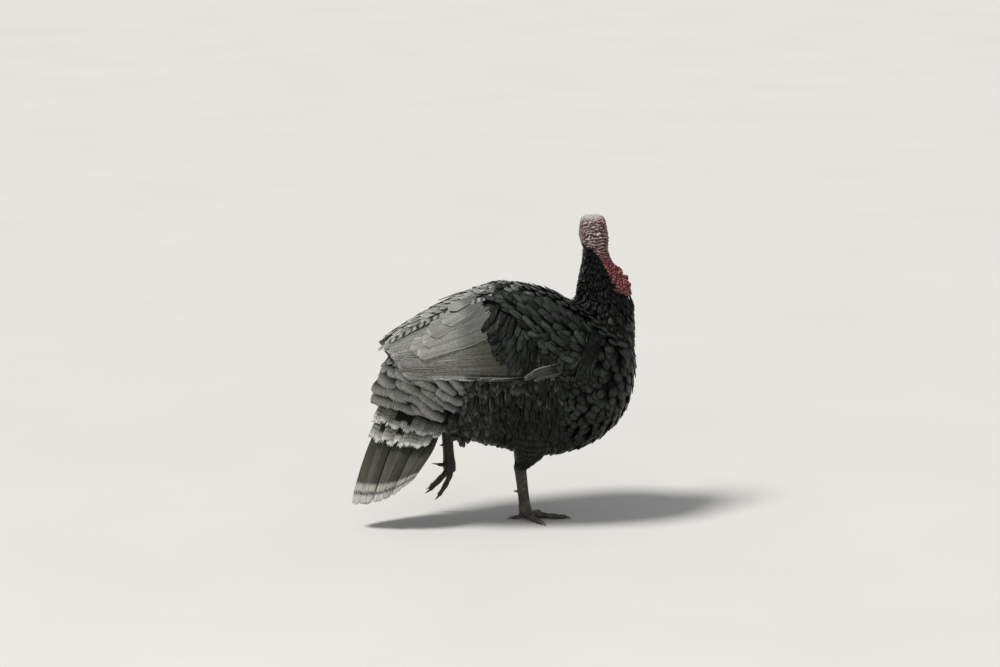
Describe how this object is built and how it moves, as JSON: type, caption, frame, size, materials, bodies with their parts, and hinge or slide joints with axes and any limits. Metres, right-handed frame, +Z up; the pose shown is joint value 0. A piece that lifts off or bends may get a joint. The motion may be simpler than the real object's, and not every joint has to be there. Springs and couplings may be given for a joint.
{
  "type": "tom turkey",
  "caption": "Life-size tom turkey with black, pale-winged plumage, walking, one foot raised and its bare red head turned away to its left.",
  "frame": {"origin": "middle of the bird's box in plan, on the floor that the standing foot rests on", "axes": "+Z up; +X the way the bird walks; +Y the bird's left, where its head is turned"},
  "size_m": [0.7903, 0.3748, 0.8481],
  "materials": {
    "plumage_dark": "overlapping black-brown feathers with a slight green gloss",
    "plumage_pale": "overlapping warm pale grey flight feathers with darker bars and whitish edges",
    "bare_skin": "folded bare skin, whitish on the crown and red on the neck",
    "leg_scale": "overlapping leg scutes, grey-brown, slightly glossy",
    "horn": "worn horn of bill, claws and spurs",
    "eye": "wet dark brown eye"
  },
  "bodies": {
    "root": {"trunk": "plumage_dark", "neck": "plumage_dark", "head": "bare_skin", "snood": "bare_skin", "wattle": "bare_skin", "eye_left": "eye", "eye_right": "eye", "bill_upper": "horn", "bill_lower": "horn", "wing_left": "plumage_pale", "wing_right": "plumage_pale", "tail": "plumage_pale", "thigh_left": "plumage_dark", "shank_left": "leg_scale", "spur_left": "horn", "toe_left_inner": "leg_scale", "claw_left_inner": "horn", "toe_left_middle": "leg_scale", "claw_left_middle": "horn", "toe_left_outer": "leg_scale", "claw_left_outer": "horn", "toe_left_rear": "leg_scale", "claw_left_rear": "horn", "thigh_right": "plumage_dark", "shank_right": "leg_scale", "spur_right": "horn", "toe_right_inner": "leg_scale", "claw_right_inner": "horn", "toe_right_middle": "leg_scale", "claw_right_middle": "horn", "toe_right_outer": "leg_scale", "claw_right_outer": "horn", "toe_right_rear": "leg_scale", "claw_right_rear": "horn"}
  },
  "joints": []
}
